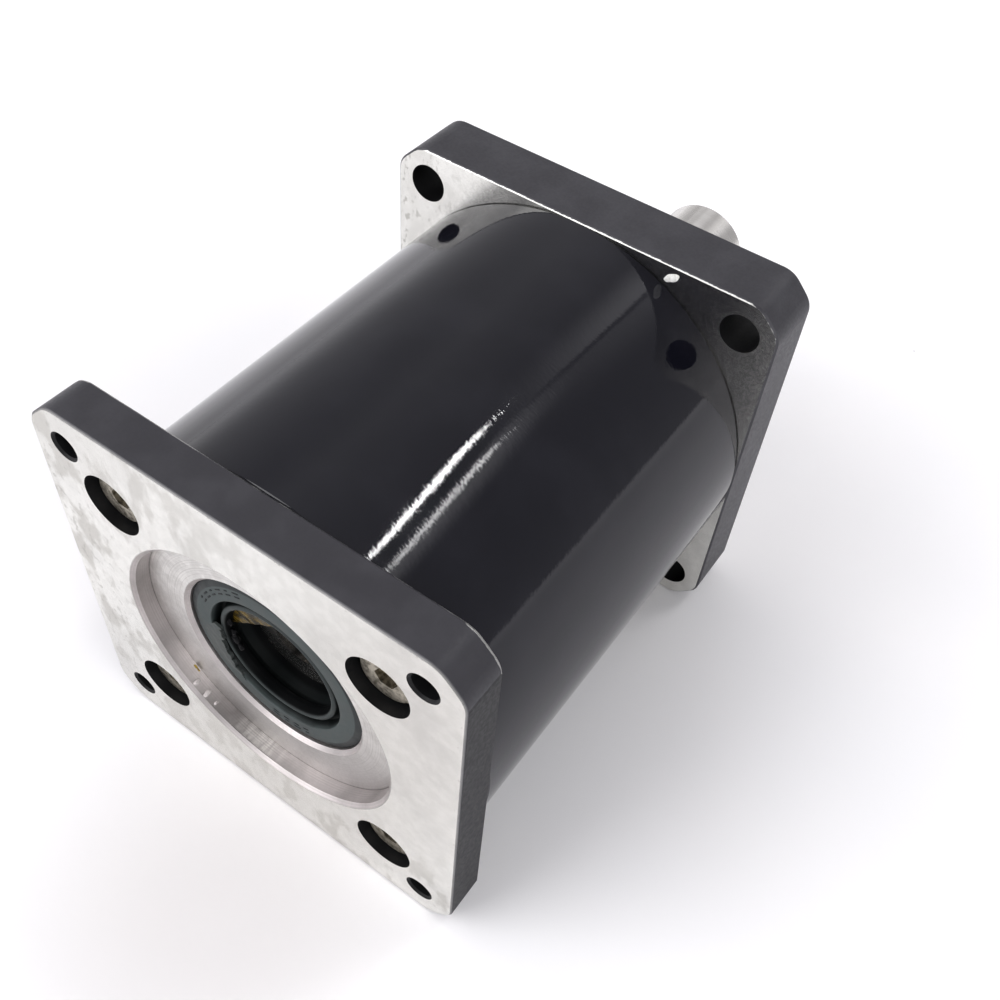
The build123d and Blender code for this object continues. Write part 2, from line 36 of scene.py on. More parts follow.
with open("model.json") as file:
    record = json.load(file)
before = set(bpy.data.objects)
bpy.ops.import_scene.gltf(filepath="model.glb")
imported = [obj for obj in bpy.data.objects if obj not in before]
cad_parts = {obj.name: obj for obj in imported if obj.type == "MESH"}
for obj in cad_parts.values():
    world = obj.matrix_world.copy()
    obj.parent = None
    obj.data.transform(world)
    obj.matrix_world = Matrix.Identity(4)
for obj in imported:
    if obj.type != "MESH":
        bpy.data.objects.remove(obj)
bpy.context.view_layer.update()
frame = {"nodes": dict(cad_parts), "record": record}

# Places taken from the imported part
input_low, input_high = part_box("input_flange")
body_low, body_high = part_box("ring_gear_body")
input_seal_low, input_seal_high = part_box("input_seal")
output_seal_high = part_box("output_seal")[1]
input_face = input_low.x
output_face = 0.0
half_side = input_high.z
body_middle = (body_low.x + body_high.x) / 2
floor_height = input_low.z

# Flanges: the motor recess, the bare zones, and a painted glint (painted highlight) on the recess wall
recess_depth = 2.5 * MM
recess_radius = 19.05 * MM
bore_zone_radius = 19.6 * MM
edge_bevel = 0.25 * MM
corner_zone_radius = 37.2 * MM
painted_glint_place = Vector((-69.1, 3.4, -18.75)) * MM
painted_glint_reach = 5.0 * MM
painted_glint_core = 1.0 * MM

# Shaft seals; the section inside the outer ring is given as (depth from the face, radius) in millimetres
seal_width = 7.0 * MM
seal_wall = 1.2 * MM
seal_bevel = 1.0 * MM
seal_bevel_depth = 0.35 * MM
seal_face_depth = 2.6 * MM
seal_corner_radius = 0.14 * MM
seal_corner_share = 0.42
seal_inner_section = (
    (2.6, 10.05), (4.6, 9.25), (4.8, 8.6), (6.0, 8.6), (6.2, 9.25), (6.6, 9.25), (6.6, 8.35), (5.2, 7.55),
    (2.6, 8.45), (1.8, 7.8), (1.4, 7.8), (0.5, 8.05), (0.3, 8.3), (0.5, 8.75), (1.5, 9.0), (1.5, 9.5),
    (0.0, 9.75),
)

# Pieces: edges sharper than this angle in degrees stay sharp
sharp_angle = 40

# Grease film and smear: angles from +Y towards +Z in degrees
film_radius = 7.85 * MM
film_depth = 1.6 * MM
film_first = 2.0
film_last = 104.0
smear_first = 3.0
smear_last = -57.0
smear_height = 0.16 * MM
smear_root = 0.30 * MM
film_steps = 48
smear_steps = 56

# Moulded dashes on the input seal
mark_pitch = 8.5
mark_half_width = 0.13 * MM
mark_height = 0.07 * MM
mark_root = 0.08 * MM

# Table paper: half its width, a faint warm painted shade in front of the motor face, and a glow that lifts
# the far paper to the sky's level
floor_reach = 6.0
painted_shade_place = Vector((-86, -5, 0)) * MM
painted_shade_reach = 38 * MM
painted_shade_core = 4 * MM
painted_shade_share = 0.6
lift_start = 0.3
lift_end = 1.5
lift_strength = 0.3

# Camera: place, heading from +X towards +Y, tilt above the horizon and roll in degrees, lens in millimetres
camera_place = Vector((-112.3, -54.9, 112.2)) * MM
camera_heading = 31.15
camera_tilt = -49.77
camera_roll = 5.6
camera_lens = 40.6
camera_clip_start = 10 * MM
picture_exposure = 0.54
picture_gamma = 0.87

# Lamps, window and door: directions are seen from the body's middle, radiances are in W/(m2 sr)
lamp_reach = 1.0
lamp_start = Vector((0.42, -0.34, 0.84))
lamp_end = Vector((0.553, -0.215, 0.797))
lamp_tube_width = 0.010
lamp_tube_gap = 0.007
lamp_radiance = 44.0
glow_start = Vector((0.43, -0.47, 0.77))
glow_end = Vector((0.556, -0.355, 0.755))
glow_width = 0.026
glow_radiance = 10.0
window_reach = 3.0
window_size = 2.1
window_direction = Vector((-0.62, 0.50, 0.60))
window_radiance = 2.1
door_direction = Vector((-0.30, -0.85, 0.45))
door_radiance = 2.0

# Room seen in the gloss: a slope of light, a halo beside the glow, two bands beyond the lamp with a dark
# line between them, a dim viewer and cabinet, and a lift near the horizon
glow_normal = Vector((-0.516, 0.565, 0.645))
glow_middle = Vector((0.50, -0.42, 0.757))
halo_gain = 1.1
sky_level = 0.79
sky_slope = Vector((-0.55, 0.70, -0.45))
sky_gain = 0.44
band_normal = Vector((0.087, 0.975, 0.202))
band_width = 0.10
band_gain = 0.75
viewer_direction = Vector((-0.54, -0.33, 0.77))
viewer_dimming = 0.72
cabinet_direction = Vector((0.40, 0.78, 0.48))
cabinet_dimming = 0.34
horizon_height = 0.30
horizon_gain = 0.14


# ---------------------------------------------------------------- shader building

class Recipe:
    """A shader under construction, with short names for the nodes used below."""

    def __init__(self, tree, coordinates):
        self.tree = tree
        self.place = self.node("ShaderNodeTexCoord").outputs[coordinates]

    def node(self, kind, feeds=None, **settings):
        """Add a node, set its properties and feed its sockets with values or other outputs."""
        made = self.tree.nodes.new(kind)
        for key, value in settings.items():
            setattr(made, key, value)
        for socket, value in (feeds or {}).items():
            self.feed(made.inputs[socket], value)
        return made

    def feed(self, socket, value):
        """Link an output to a socket, or set the socket's value."""
        if isinstance(value, bpy.types.NodeSocket):
            self.tree.links.new(value, socket)
        elif socket.type == "RGBA":
            socket.default_value = (*value, 1.0)
        else:
            socket.default_value = value

    def maths(self, operation, first, second=0.0):
        """One arithmetic step on plain numbers."""
        return self.node("ShaderNodeMath", {0: first, 1: second}, operation=operation).outputs[0]

    def dot(self, direction):
        """How far the place lies along a direction."""
        feeds = {0: self.place, 1: direction}
        return self.node("ShaderNodeVectorMath", feeds, operation="DOT_PRODUCT").outputs["Value"]

    def distance(self, point):
        """Distance of the place from a point."""
        feeds = {0: self.place, 1: point}
        return self.node("ShaderNodeVectorMath", feeds, operation="DISTANCE").outputs["Value"]

    def remap(self, value, low, high, to_low=0.0, to_high=1.0):
        """Stretch a value smoothly from one range to another and clamp it there."""
        feeds = {"Value": value, "From Min": low, "From Max": high, "To Min": to_low, "To Max": to_high}
        return self.node("ShaderNodeMapRange", feeds, interpolation_type="SMOOTHSTEP").outputs[0]

    def mix(self, share, first, second):
        """Blend two colours."""
        return self.node("ShaderNodeMix", {0: share, 6: first, 7: second}, data_type="RGBA").outputs[2]

    def blend(self, share, first, second):
        """Blend two plain numbers."""
        return self.node("ShaderNodeMix", {0: share, 2: first, 3: second}, data_type="FLOAT").outputs[0]

    def noise(self, size, detail=3.0, stretch=(1, 1, 1), turn=(0, 0, 0), vector=None):
        """Noise with features about size metres wide, longer where stretch is below 1."""
        feeds = {"Vector": vector or self.place, "Scale": stretch, "Rotation": turn}
        mapped = self.node("ShaderNodeMapping", feeds).outputs[0]
        feeds = {"Vector": mapped, "Scale": 1 / size, "Detail": detail}
        return self.node("ShaderNodeTexNoise", feeds).outputs[0]

    def specks(self, spacing, size, share):
        """Sparse round dots: 1 inside a dot, 0 elsewhere."""
        cells = self.node("ShaderNodeTexVoronoi", {"Vector": self.place, "Scale": 1 / spacing})
        dot = self.remap(cells.outputs["Distance"], size / spacing, 0.4 * size / spacing)
        split = self.node("ShaderNodeSeparateColor", {0: cells.outputs["Color"]})
        chosen = self.maths("LESS_THAN", split.outputs[0], share)
        return self.maths("MULTIPLY", dot, chosen)

    def scratches(self, length, width, share, turn):
        """Fine straight marks along one direction: 1 on a mark, 0 elsewhere."""
        streaks = self.noise(width, 1.0, (1, width / length, 1), turn)
        patches = self.noise(length / 2, 2.0)
        marks = self.remap(streaks, 0.70, 0.78)
        kept = self.remap(patches, 1 - share, 1.1 - share)
        return self.maths("MULTIPLY", marks, kept)

    def shaft_coordinates(self):
        """Station along X, radius from the shaft axis, and both as a vector for turning marks."""
        split = self.node("ShaderNodeSeparateXYZ", {0: self.place}).outputs
        across = self.maths("POWER", split["Y"], 2.0)
        up = self.maths("POWER", split["Z"], 2.0)
        radius = self.maths("SQRT", self.maths("ADD", across, up))
        turned = self.node("ShaderNodeCombineXYZ", {"X": split["X"], "Y": radius}).outputs[0]
        return split["X"], radius, turned

    def square_reach(self):
        """Distance from the shaft axis measured square to the flats."""
        split = self.node("ShaderNodeSeparateXYZ", {0: self.place}).outputs
        return self.maths("MAXIMUM", self.maths("ABSOLUTE", split["Y"]), self.maths("ABSOLUTE", split["Z"]))

    def facing_shaft_ends(self):
        """1 on faces square to the shaft axis, 0 on faces along it."""
        normal = self.node("ShaderNodeNewGeometry").outputs["True Normal"]
        return self.maths("ABSOLUTE", self.node("ShaderNodeSeparateXYZ", {0: normal}).outputs["X"])

    def bump(self, height, depth, under=None):
        """Bump of a given depth in metres, on top of another bump if given."""
        feeds = {"Height": height, "Distance": depth, "Strength": 1.0}
        if under is not None:
            feeds["Normal"] = under
        return self.node("ShaderNodeBump", feeds).outputs[0]


class Surface(Recipe):
    """The recipe of one material."""

    def __init__(self, name):
        self.material = bpy.data.materials.new(name)
        self.material.use_nodes = True
        super().__init__(self.material.node_tree, "Object")

    def finish(self, **feeds):
        """Feed the surface's own sockets, given with underscores for spaces, and return the material."""
        surface = self.tree.nodes["Principled BSDF"]
        for key, value in feeds.items():
            self.feed(surface.inputs[key.replace("_", " ")], value)
        return self.material


# ---------------------------------------------------------------- flange material

def rubbed_edges(r, station, radius, gap, outline):
    """Bare metal along the outer edges, by the gap to the nearest flange face.

    The far flange has a thin line along its upper and lower edges, and the near one worn patches and
    corners. The edges round the motor face are only lightly rubbed.
    """
    corner = r.remap(radius, corner_zone_radius - 0.1 * MM, corner_zone_radius + 0.3 * MM)
    near = r.maths("LESS_THAN", station, body_middle)
    height = r.node("ShaderNodeSeparateXYZ", {0: r.place}).outputs["Z"]
    level = r.maths("GREATER_THAN", r.maths("ABSOLUTE", height), half_side - 0.5 * MM)
    rub_far = r.blend(corner, r.blend(level, -0.02 * MM, 0.13 * MM), 0.01 * MM)
    worn = r.remap(r.noise(7 * MM, 2.0), 0.48, 0.58, 0.0, 0.16 * MM)
    rub_near = r.blend(corner, worn, 0.36 * MM)
    rub = r.blend(near, rub_far, rub_near)
    ragged = r.remap(r.noise(0.5 * MM, 3.0), 0.3, 0.7, -0.03 * MM, 0.03 * MM)
    rubbed = r.maths("LESS_THAN", gap, r.maths("ADD", rub, ragged))
    rubbed = r.maths("MULTIPLY", rubbed, r.blend(near, 0.62, 0.40))
    front = r.maths("LESS_THAN", station, input_face + 1 * MM)
    soft = r.remap(gap, 0.0, edge_bevel, 0.30, 0.0)
    rubbed = r.blend(front, rubbed, soft)
    return r.maths("MULTIPLY", rubbed, outline)


def bare_share(r, station, radius):
    """Share of bare metal on a flange: the faces, the bores and the rubbed outer edges.

    Also gives the bores, how far a face looks along the shaft, and what lies inside the outline, the mask of
    the painted shade in the holes.
    """
    along = r.facing_shaft_ends()
    gap = None
    for face in (input_face, body_low.x, body_high.x, output_face):
        distance = r.maths("ABSOLUTE", r.maths("SUBTRACT", station, face))
        gap = distance if gap is None else r.maths("MINIMUM", gap, distance)
    outline = r.maths("GREATER_THAN", r.square_reach(), half_side - 0.5 * MM)
    outline = r.maths("MAXIMUM", outline, r.maths("GREATER_THAN", radius, corner_zone_radius - 0.3 * MM))
    close = r.maths("LESS_THAN", gap, r.blend(outline, 0.45 * MM, 0.04 * MM))
    flat = r.maths("MULTIPLY", r.remap(along, 0.80, 0.90), close)
    bored = r.maths("LESS_THAN", radius, bore_zone_radius)
    rubbed = rubbed_edges(r, station, radius, gap, outline)
    bare = r.maths("MAXIMUM", bored, r.maths("MAXIMUM", flat, rubbed))
    return bare, bored, along, r.maths("SUBTRACT", 1.0, outline)


def face_tone(r, marks, mottle, split):
    """Colour of the milled faces: mottled, nicked at the edges, most worn low and left on the near one, with
    painted shade towards the bottom.
    """
    smudge = r.noise(9 * MM, 4.0)
    tone = r.mix(r.remap(mottle, 0.38, 0.66), (0.76, 0.755, 0.725), (0.82, 0.815, 0.785))
    tone = r.mix(r.remap(smudge, 0.48, 0.68, 0.0, 0.28), tone, (0.56, 0.555, 0.54))
    tone = r.mix(r.maths("MULTIPLY", marks, 0.35), tone, (0.50, 0.49, 0.47))

    near = r.remap(split["X"], body_middle, body_low.x, 0.2, 1.0)
    aged = r.maths("MAXIMUM", r.remap(split["Y"], -18 * MM, 28 * MM), r.remap(split["Z"], -6 * MM, -26 * MM))
    aged = r.maths("MULTIPLY", aged, near)
    scuff = r.remap(r.noise(3.0 * MM, 7.0, (1, 1, 0.6)), 0.46, 0.60, 0.10, 1.0)
    tone = r.mix(r.maths("MULTIPLY", r.maths("MULTIPLY", aged, scuff), 0.75), tone, (0.46, 0.445, 0.41))
    bruised = r.remap(split["Y"], 15 * MM, 28 * MM)
    flecks = r.maths("MULTIPLY", r.remap(r.noise(0.8 * MM, 6.0, (1, 1, 0.6)), 0.57, 0.66), bruised)
    tone = r.mix(r.maths("MULTIPLY", flecks, 0.5), tone, (0.30, 0.29, 0.26))

    # painted shade: the faces of both flanges painted darker towards the bottom, on the +Y half
    low = r.maths("MULTIPLY", r.remap(split["Z"], -4 * MM, -24 * MM), r.remap(split["Y"], -18 * MM, 0.0))
    tone = r.mix(r.maths("MULTIPLY", low, 0.5), tone, (0.58, 0.57, 0.545))
    high = r.maths("MULTIPLY", r.remap(split["Z"], 14 * MM, 26 * MM), r.remap(split["Y"], 8 * MM, 26 * MM))
    tone = r.mix(r.maths("MULTIPLY", r.maths("MULTIPLY", high, near), 0.5), tone, (0.56, 0.55, 0.52))
    edge = r.remap(r.square_reach(), half_side - 1.6 * MM, half_side - 0.4 * MM)
    nicks = r.maths("MULTIPLY", edge, r.remap(r.noise(0.45 * MM, 3.0), 0.66, 0.71))
    return r.mix(r.maths("MULTIPLY", nicks, 0.45), tone, (0.28, 0.27, 0.25))


def recess_tone(r, along, radius, grooves, mottle, split):
    """Colour of the bores and the turned recess: darker wall with a painted glint, the floor ring with
    painted shade towards the bottom, darker in the corner.
    """
    wall = r.mix(r.remap(r.noise(5 * MM, 4.0), 0.30, 0.70), (0.44, 0.415, 0.41), (0.58, 0.545, 0.54))
    streaks = r.remap(r.noise(0.7 * MM, 3.0, (0.2, 1, 1)), 0.35, 0.60, 0.3, 1.0)
    inside = r.remap(split["X"], input_face + 0.50 * MM, input_face + 0.62 * MM)
    # painted highlight: a bright glint painted into the wall colour low on the recess wall
    painted_glint = r.remap(r.distance(painted_glint_place), painted_glint_reach, painted_glint_core)
    painted_glint = r.maths("MULTIPLY", painted_glint, r.maths("MULTIPLY", streaks, inside))
    wall = r.mix(painted_glint, wall, (0.98, 0.95, 0.92))

    ring = r.mix(r.remap(mottle, 0.36, 0.66), (0.64, 0.63, 0.61), (0.77, 0.76, 0.74))
    # painted shade: the recess floor ring painted darker towards the bottom
    ring = r.mix(r.remap(split["Z"], 8 * MM, -12 * MM, 0.0, 0.8), ring, (0.44, 0.425, 0.42))
    turned = r.mix(r.remap(along, 0.75, 0.95), wall, ring)
    rim_gap = r.maths("ABSOLUTE", r.maths("SUBTRACT", radius, recess_radius))
    # darker along the corner between the recess wall and floor
    corner_darkening = r.maths("MULTIPLY", r.remap(rim_gap, 0.24 * MM, 0.05 * MM, 0.0, 0.6), r.remap(along, 0.9, 0.95))
    turned = r.mix(corner_darkening, turned, (0.10, 0.09, 0.085))
    return r.mix(r.remap(grooves, 0.42, 0.66, 0.0, 0.35), turned, (0.38, 0.36, 0.35))


def machined_tone(r, bored, along, radius, grooves, marks):
    """Colour of the bare metal: the faces, the bores and recess, and a few dark specks on both."""
    mottle = r.noise(1.6 * MM, 7.0)
    split = r.node("ShaderNodeSeparateXYZ", {0: r.place}).outputs
    face = face_tone(r, marks, mottle, split)
    recess = recess_tone(r, along, radius, grooves, mottle, split)
    tone = r.mix(bored, face, recess)
    return r.mix(r.specks(5 * MM, 0.17 * MM, 0.10), tone, (0.16, 0.15, 0.13))


def dyed_tone(r, painted_hole_shade, station):
    """Colour and sheen of the dyed plate: painted shade, darker in the holes and on the near flange's -Y
    side.
    """
    dye = r.mix(r.remap(r.noise(5 * MM, 4.0), 0.35, 0.70), (0.035, 0.034, 0.041), (0.048, 0.047, 0.055))
    across = r.node("ShaderNodeSeparateXYZ", {0: r.place}).outputs["Y"]
    # painted shade: mask of the near flange's -Y side, painted darker
    painted_side_shade = r.maths("MULTIPLY", r.maths("LESS_THAN", across, 0.05 * MM - half_side),
                     r.maths("LESS_THAN", station, body_middle))
    # painted shade: the dye is painted near black in the holes, and by 0.7 on the near flange's -Y side
    dye = r.mix(r.maths("MAXIMUM", painted_hole_shade, r.maths("MULTIPLY", painted_side_shade, 0.7)), dye, (0.007, 0.007, 0.008))
    dye = r.mix(r.specks(4 * MM, 0.12 * MM, 0.28), dye, (0.42, 0.41, 0.40))
    return dye, r.blend(r.maths("MAXIMUM", painted_hole_shade, painted_side_shade), 0.5, 0.28)


def flange_aluminium():
    """Black anodised plate whose faces and bores were machined bare afterwards."""
    r = Surface("flange_aluminium")
    station, radius, turned = r.shaft_coordinates()
    bare, bored, along, painted_hole_shade = bare_share(r, station, radius)
    marks = r.scratches(14 * MM, 0.10 * MM, 0.42, (0.4, 0, 0))
    marks = r.maths("MAXIMUM", marks, r.scratches(9 * MM, 0.08 * MM, 0.40, (1.9, 0, 0)))
    grooves = r.noise(0.16 * MM, 2.0, vector=turned)
    metal = machined_tone(r, bored, along, radius, grooves, marks)
    dye, sheen = dyed_tone(r, painted_hole_shade, station)

    grain = r.noise(0.35 * MM, 4.0)
    metal_shine = r.blend(bored, r.remap(grain, 0.3, 0.7, 0.17, 0.26), r.remap(grain, 0.3, 0.7, 0.36, 0.50))
    dye_shine = r.remap(grain, 0.3, 0.7, 0.42, 0.54)
    fine = r.bump(grain, r.blend(bare, 0.006 * MM, 0.0015 * MM))
    fine = r.bump(r.maths("MULTIPLY", grooves, bored), 0.010 * MM, fine)
    fine = r.bump(marks, -0.004 * MM, fine)
    return r.finish(Base_Color=r.mix(bare, dye, metal), Metallic=bare, Specular_IOR_Level=sheen,
                    Roughness=r.blend(bare, dye_shine, metal_shine), Normal=fine)


# ---------------------------------------------------------------- other materials

def body_black():
    """High-gloss black coat over a turned cylinder: fine turning ripple, slow sag, dust."""
    r = Surface("body_black")
    ripple = r.noise(1.2 * MM, 2.5, (4.5, 1.0, 1.0))
    wave = r.noise(2.6 * MM, 1.5, (0.8, 1, 1))
    sag = r.noise(14 * MM, 1.0)
    dust = r.specks(5 * MM, 0.15 * MM, 0.22)
    haze = r.noise(9 * MM, 4.0)
    coat = r.mix(r.remap(haze, 0.4, 0.8), (0.007, 0.007, 0.012), (0.012, 0.012, 0.018))
    coat = r.mix(dust, coat, (0.60, 0.60, 0.60))
    shape = r.bump(sag, 0.05 * MM)
    shape = r.bump(wave, 0.006 * MM, shape)
    shape = r.bump(ripple, 0.0056 * MM, shape)
    shape = r.bump(r.noise(0.45 * MM, 1.0, (2.2, 1, 1)), 0.0030 * MM, shape)
    shape = r.bump(dust, 0.02 * MM, shape)
    shine = r.remap(haze, 0.35, 0.75, 0.03, 0.07)
    return r.finish(Base_Color=coat, Roughness=r.blend(dust, shine, 0.6), Specular_IOR_Level=0.45,
                    Normal=shape)


def steel(name, tint, shadow, shine, groove_size=0.2 * MM, groove_depth=0.008 * MM, stain=0.3,
          turning=True):
    """Machined steel with turning grooves round the shaft axis, stains and fine pits."""
    r = Surface(name)
    turned = r.shaft_coordinates()[2]
    grooves = r.noise(groove_size, 2.0, vector=turned if turning else None)
    clouds = r.noise(4 * MM, 5.0)
    tone = r.mix(r.remap(grooves, 0.35, 0.70), tint, shadow)
    tone = r.mix(r.remap(clouds, 0.50, 0.75, 0.0, stain), tone, shadow)
    tone = r.mix(r.specks(1.6 * MM, 0.08 * MM, 0.3), tone, tuple(0.3 * part for part in shadow))
    low, high = shine
    fine = r.bump(grooves, groove_depth)
    fine = r.bump(r.noise(0.4 * MM, 4.0), 0.004 * MM, fine)
    return r.finish(Base_Color=tone, Metallic=1.0, Roughness=r.remap(clouds, 0.3, 0.7, low, high),
                    Normal=fine)


def ground_steel():
    """Ground shaft: soft bands along its length painted in as reflections, and faint grinding marks round
    it.
    """
    r = Surface("ground_steel")
    turned = r.shaft_coordinates()[2]
    bands = r.noise(3.0 * MM, 1.0, (0.03, 1, 1))
    marks = r.noise(0.12 * MM, 2.0, vector=turned)
    # painted reflection: light and dark bands along the shaft in its colour
    tone = r.mix(r.remap(bands, 0.40, 0.60), (0.48, 0.47, 0.45), (0.76, 0.745, 0.72))
    tone = r.mix(r.remap(marks, 0.35, 0.70, 0.0, 0.20), tone, (0.40, 0.39, 0.37))
    tone = r.mix(r.specks(1.6 * MM, 0.08 * MM, 0.2), tone, (0.18, 0.18, 0.17))
    fine = r.bump(marks, 0.0010 * MM)
    return r.finish(Base_Color=tone, Metallic=1.0, Roughness=r.remap(bands, 0.3, 0.7, 0.30, 0.20),
                    Normal=fine)


def seal_rubber():
    """Moulded nitrile rubber: dusty grey-green face, black and oily towards the lip; the black is partly its
    own and partly painted shade, deeper in and in the throat.
    """
    r = Surface("seal_rubber")
    station, radius, turned = r.shaft_coordinates()
    bloom = r.remap(r.noise(2.4 * MM, 5.0), 0.30, 0.72)
    tone = r.mix(bloom, (0.034, 0.044, 0.044), (0.062, 0.077, 0.077))
    flow = r.noise(0.5 * MM, 2.0, vector=turned)
    tone = r.mix(r.remap(flow, 0.5, 0.8, 0.0, 0.4), tone, (0.03, 0.036, 0.037))
    inward = r.maths("SUBTRACT", station, input_seal_low.x)
    outward = r.maths("SUBTRACT", output_seal_high.x, station)
    depth = r.maths("MINIMUM", inward, outward)
    # the rubber's own black and painted shade: darker deeper into the seal
    tone = r.mix(r.remap(depth, 0.05 * MM, 0.8 * MM, 0.0, 0.9), tone, (0.004, 0.005, 0.0055))
    tone = r.mix(r.specks(1.8 * MM, 0.09 * MM, 0.25), tone, (0.02, 0.02, 0.02))
    # painted shade: the throat of the lip painted near black
    throat = r.remap(radius, 8.18 * MM, 7.95 * MM)
    tone = r.mix(throat, tone, (0.003, 0.0035, 0.004))
    # painted shade: the seal's outer bevel painted darker
    painted_bevel_shade = r.remap(radius, input_seal_high.z - seal_bevel - 0.10 * MM, input_seal_high.z - seal_bevel)
    tone = r.mix(r.maths("MULTIPLY", painted_bevel_shade, 0.75), tone, (0.016, 0.018, 0.020))
    oily = r.blend(throat, r.remap(depth, 0.3 * MM, 1.2 * MM, 0.32, 0.10), 0.06)
    fine = r.bump(flow, 0.010 * MM)
    fine = r.bump(r.noise(0.25 * MM, 3.0), 0.010 * MM, fine)
    return r.finish(Base_Color=tone, Roughness=r.remap(bloom, 0, 1, 0.42, 0.56), Specular_IOR_Level=oily,
                    Normal=fine)


def mark_rubber():
    """Rubber of the moulded marks, polished darker than the face round them."""
    r = Surface("mark_rubber")
    grain = r.noise(0.2 * MM, 3.0)
    tone = r.mix(r.remap(grain, 0.35, 0.65), (0.008, 0.010, 0.012), (0.020, 0.024, 0.026))
    return r.finish(Base_Color=tone, Roughness=0.5, Specular_IOR_Level=0.25, Normal=r.bump(grain, 0.01 * MM))


def polymer():
    """Glass-filled polyamide of the ball cages, with a fibrous grain."""
    r = Surface("cage_polymer")
    fibres = r.noise(0.3 * MM, 4.0, (0.3, 1, 1))
    tone = r.mix(r.remap(fibres, 0.35, 0.7), (0.62, 0.55, 0.36), (0.76, 0.70, 0.52))
    return r.finish(Base_Color=tone, Roughness=r.remap(fibres, 0.3, 0.7, 0.38, 0.55),
                    Subsurface_Weight=0.15, Normal=r.bump(fibres, 0.01 * MM))


def grease(name, thin, thick, clarity, wetness, lumpy=0.04 * MM, sheen=0.35):
    """Bearing grease, streaky where it has been drawn out; wetness is its lowest roughness."""
    r = Surface(name)
    streaks = r.noise(0.7 * MM, 4.0, (1, 0.4, 1))
    tone = r.mix(r.remap(streaks, 0.35, 0.7), thin, thick)
    return r.finish(Base_Color=tone, Roughness=r.remap(streaks, 0.3, 0.7, wetness, wetness + 0.15),
                    Transmission_Weight=clarity, IOR=1.48, Specular_IOR_Level=sheen,
                    Normal=r.bump(streaks, lumpy))


def marker_paint():
    """White inspection paint, slightly cracked."""
    r = Surface("marker_paint")
    brush = r.noise(0.3 * MM, 4.0)
    tone = r.mix(r.remap(brush, 0.35, 0.65), (0.90, 0.90, 0.88), (0.70, 0.70, 0.67))
    return r.finish(Base_Color=tone, Roughness=0.45, Normal=r.bump(brush, 0.03 * MM))


def floor_paper():
    """Matte white table paper with faint mottling, a few dust specks and a warm painted shade in front of
    the motor face, lifted far from the part.
    """
    r = Surface("floor_paper")
    cloud = r.noise(60 * MM, 3.0)
    tone = r.mix(r.remap(cloud, 0.35, 0.7), (0.93, 0.925, 0.94), (0.955, 0.945, 0.955))
    # painted shade: a warm shade painted on the paper in front of the motor face
    stain = r.remap(r.distance(painted_shade_place), painted_shade_reach, painted_shade_core, 0.0, painted_shade_share)
    tone = r.mix(stain, tone, (0.73, 0.70, 0.695))
    tone = r.mix(r.specks(16 * MM, 0.20 * MM, 0.35), tone, (0.50, 0.49, 0.52))
    lift = r.remap(r.distance(Vector((0, 0, 0))), lift_start, lift_end, 0.0, lift_strength)
    return r.finish(Base_Color=tone, Roughness=0.75, Normal=r.bump(r.noise(1.5 * MM, 4.0), 0.02 * MM),
                    Emission_Color=(1.0, 0.99, 1.0), Emission_Strength=lift)


def build_finishes():
    """Every finish of the part, by the name of its material slot."""
    return {
        "flange_aluminium": flange_aluminium(),
        "body_black": body_black(),
        "seal_rubber": seal_rubber(),
        "cage_polymer": polymer(),
        "screw_steel": steel("screw_steel", (0.60, 0.56, 0.48), (0.23, 0.21, 0.17), (0.34, 0.48),
                             groove_size=0.5 * MM, stain=0.8, turning=False),
        "pressed_steel": steel("pressed_steel", (0.52, 0.52, 0.52), (0.30, 0.30, 0.30), (0.28, 0.42)),
        "bearing_steel": steel("bearing_steel", (0.78, 0.78, 0.79), (0.62, 0.62, 0.63), (0.08, 0.16),
                               groove_depth=0.002 * MM, stain=0.15),
        "spring_steel": steel("spring_steel", (0.16, 0.16, 0.17), (0.07, 0.07, 0.075), (0.30, 0.45)),
        # painted shade: turned steel painted dark, for the shade round the collar inside the input seal
        "turned_steel": steel("turned_steel", (0.30, 0.30, 0.31), (0.15, 0.15, 0.15), (0.25, 0.38)),
        "ground_steel": ground_steel(),
        "gear_steel": steel("gear_steel", (0.34, 0.34, 0.34), (0.18, 0.18, 0.18), (0.28, 0.42)),
        "bronze": steel("bronze", (0.72, 0.50, 0.26), (0.45, 0.29, 0.13), (0.28, 0.45)),
        "black_oxide": steel("black_oxide", (0.07, 0.07, 0.075), (0.03, 0.03, 0.032), (0.28, 0.40)),
    }


# ---------------------------------------------------------------- pieces

def add_piece(name, shape, finish, body):
    """Turn a finished bmesh into a smooth-shaded piece that rides on a CAD body."""
    bmesh.ops.recalc_face_normals(shape, faces=shape.faces)
    mesh = bpy.data.meshes.new(name)
    shape.to_mesh(mesh)
    shape.free()
    piece = bpy.data.objects.new(name, mesh)
    bpy.context.scene.collection.objects.link(piece)
    mesh.materials.append(finish)
    mesh.shade_smooth()
    mesh.set_sharp_from_angle(angle=math.radians(sharp_angle))
    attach(piece, body)
    return piece


def dress_nodes(finishes):
    """Give every CAD node the finish of its material slot."""
    for subpart in frame["record"]["subparts"]:
        node = frame["nodes"][subpart["node"]]
        for slot in node.material_slots:
            slot.link = "OBJECT"
            slot.material = finishes[subpart["material_slot"]]


def round_corners(section, radius, steps=4):
    """Replace every corner of a closed section by a short curve."""
    rounded = []
    for index, corner in enumerate(section):
        before = section[index - 1]
        after = section[(index + 1) % len(section)]
        reach_in = min(radius, seal_corner_share * (before - corner).length)
        reach_out = min(radius, seal_corner_share * (after - corner).length)
        start = corner + (before - corner).normalized() * reach_in
        end = corner + (after - corner).normalized() * reach_out
        for step in range(steps + 1):
            share = step / steps
            rounded.append(start * (1 - share) ** 2 + corner * 2 * share * (1 - share) + end * share ** 2)
    return rounded


